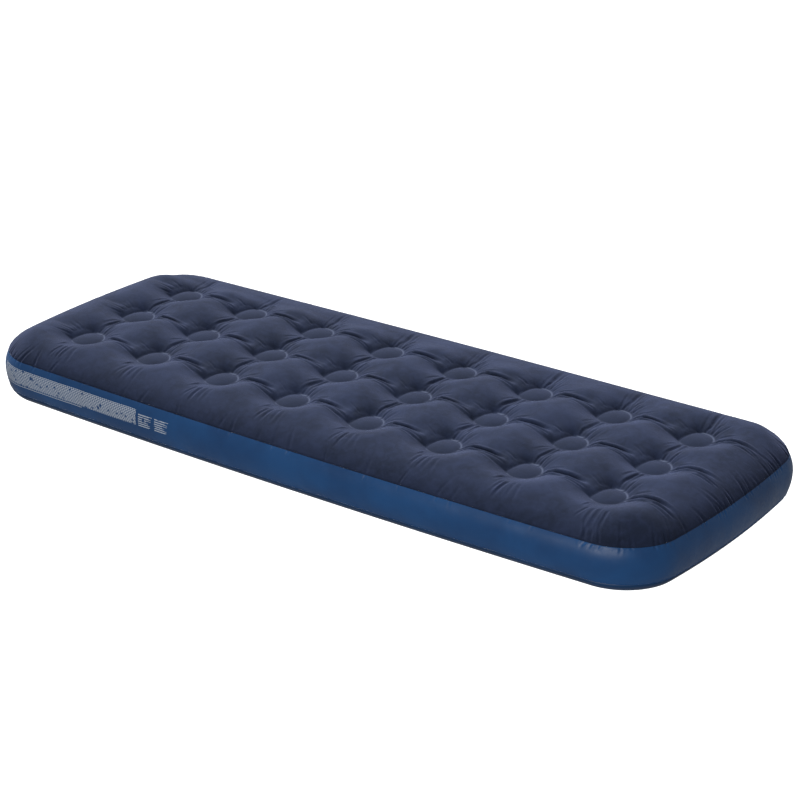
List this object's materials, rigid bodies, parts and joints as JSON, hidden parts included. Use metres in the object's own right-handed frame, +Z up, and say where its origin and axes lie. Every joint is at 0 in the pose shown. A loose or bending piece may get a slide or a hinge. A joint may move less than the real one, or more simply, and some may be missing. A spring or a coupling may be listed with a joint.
{
  "type": "single air mattress",
  "caption": "Inflated single air mattress with a flocked, dimpled top, a smooth side band, coil beams inside and a two-stage screw valve.",
  "frame": {"origin": "centre of the footprint's box, at floor level", "axes": "+X along the length, away from the valve end; +Y across the width; +Z up, the flocked sleeping side"},
  "size_m": [1.8666, 0.7282, 0.158],
  "materials": {
    "navy_flock": "short velvety flocking on PVC",
    "blue_pvc": "smooth satin PVC film",
    "beam_pvc": "plain PVC film",
    "valve_pvc": "soft moulded PVC",
    "valve_plastic": "satin moulded polypropylene",
    "seal_rubber": "translucent silicone"
  },
  "bodies": {
    "mattress": {"top_sheet": "navy_flock", "bottom_sheet": "blue_pvc", "side_band": "blue_pvc", "coil_beam_1_1": "beam_pvc", "coil_beam_1_2": "beam_pvc", "coil_beam_1_3": "beam_pvc", "coil_beam_1_4": "beam_pvc", "coil_beam_1_5": "beam_pvc", "coil_beam_1_6": "beam_pvc", "coil_beam_1_7": "beam_pvc", "coil_beam_1_8": "beam_pvc", "coil_beam_2_1": "beam_pvc", "coil_beam_2_2": "beam_pvc", "coil_beam_2_3": "beam_pvc", "coil_beam_2_4": "beam_pvc", "coil_beam_2_5": "beam_pvc", "coil_beam_2_6": "beam_pvc", "coil_beam_2_7": "beam_pvc", "coil_beam_2_8": "beam_pvc", "coil_beam_3_1": "beam_pvc", "coil_beam_3_2": "beam_pvc", "coil_beam_3_3": "beam_pvc", "coil_beam_3_4": "beam_pvc", "coil_beam_3_5": "beam_pvc", "coil_beam_3_6": "beam_pvc", "coil_beam_3_7": "beam_pvc", "coil_beam_3_8": "beam_pvc", "valve_base": "valve_pvc", "base_tether_ring": "valve_pvc", "plug_tether_strap": "valve_pvc"},
    "plug_collar": {"plug_tether_ring": "valve_pvc", "valve_gasket": "seal_rubber"},
    "plug": {"valve_plug": "valve_plastic", "cap_tether_strap": "valve_pvc"},
    "cap_collar": {"cap_tether_ring": "valve_pvc"},
    "cap": {"valve_cap": "valve_plastic"},
    "flap": {"check_flap": "seal_rubber"}
  },
  "joints": [
    {"name": "plug_lift", "type": "slide", "parent": "mattress", "child": "plug_collar", "axis": [-1, 0, 0], "range_m": [0, 0.008], "deforming": ["plug_tether_strap"]},
    {"name": "plug_turn", "type": "hinge", "parent": "plug_collar", "child": "plug", "pos_m": [-0.91048, -0.1339, 0.065], "axis": [-1, 0, 0], "range_deg": [0, 720]},
    {"name": "cap_lift", "type": "slide", "parent": "plug", "child": "cap_collar", "axis": [-1, 0, 0], "range_m": [0, 0.006], "deforming": ["cap_tether_strap"]},
    {"name": "cap_turn", "type": "hinge", "parent": "cap_collar", "child": "cap", "pos_m": [-0.91048, -0.1339, 0.065], "axis": [-1, 0, 0], "range_deg": [0, 720]},
    {"name": "flap_swing", "type": "hinge", "parent": "plug", "child": "flap", "pos_m": [-0.89918, -0.1339, 0.0774], "axis": [0, -1, 0], "range_deg": [0, 60]}
  ],
  "couplings": [
    {"joint": "plug_lift", "follows": "plug_turn", "m_per_rad": 0.0006366},
    {"joint": "cap_lift", "follows": "cap_turn", "m_per_rad": 0.0004774}
  ]
}
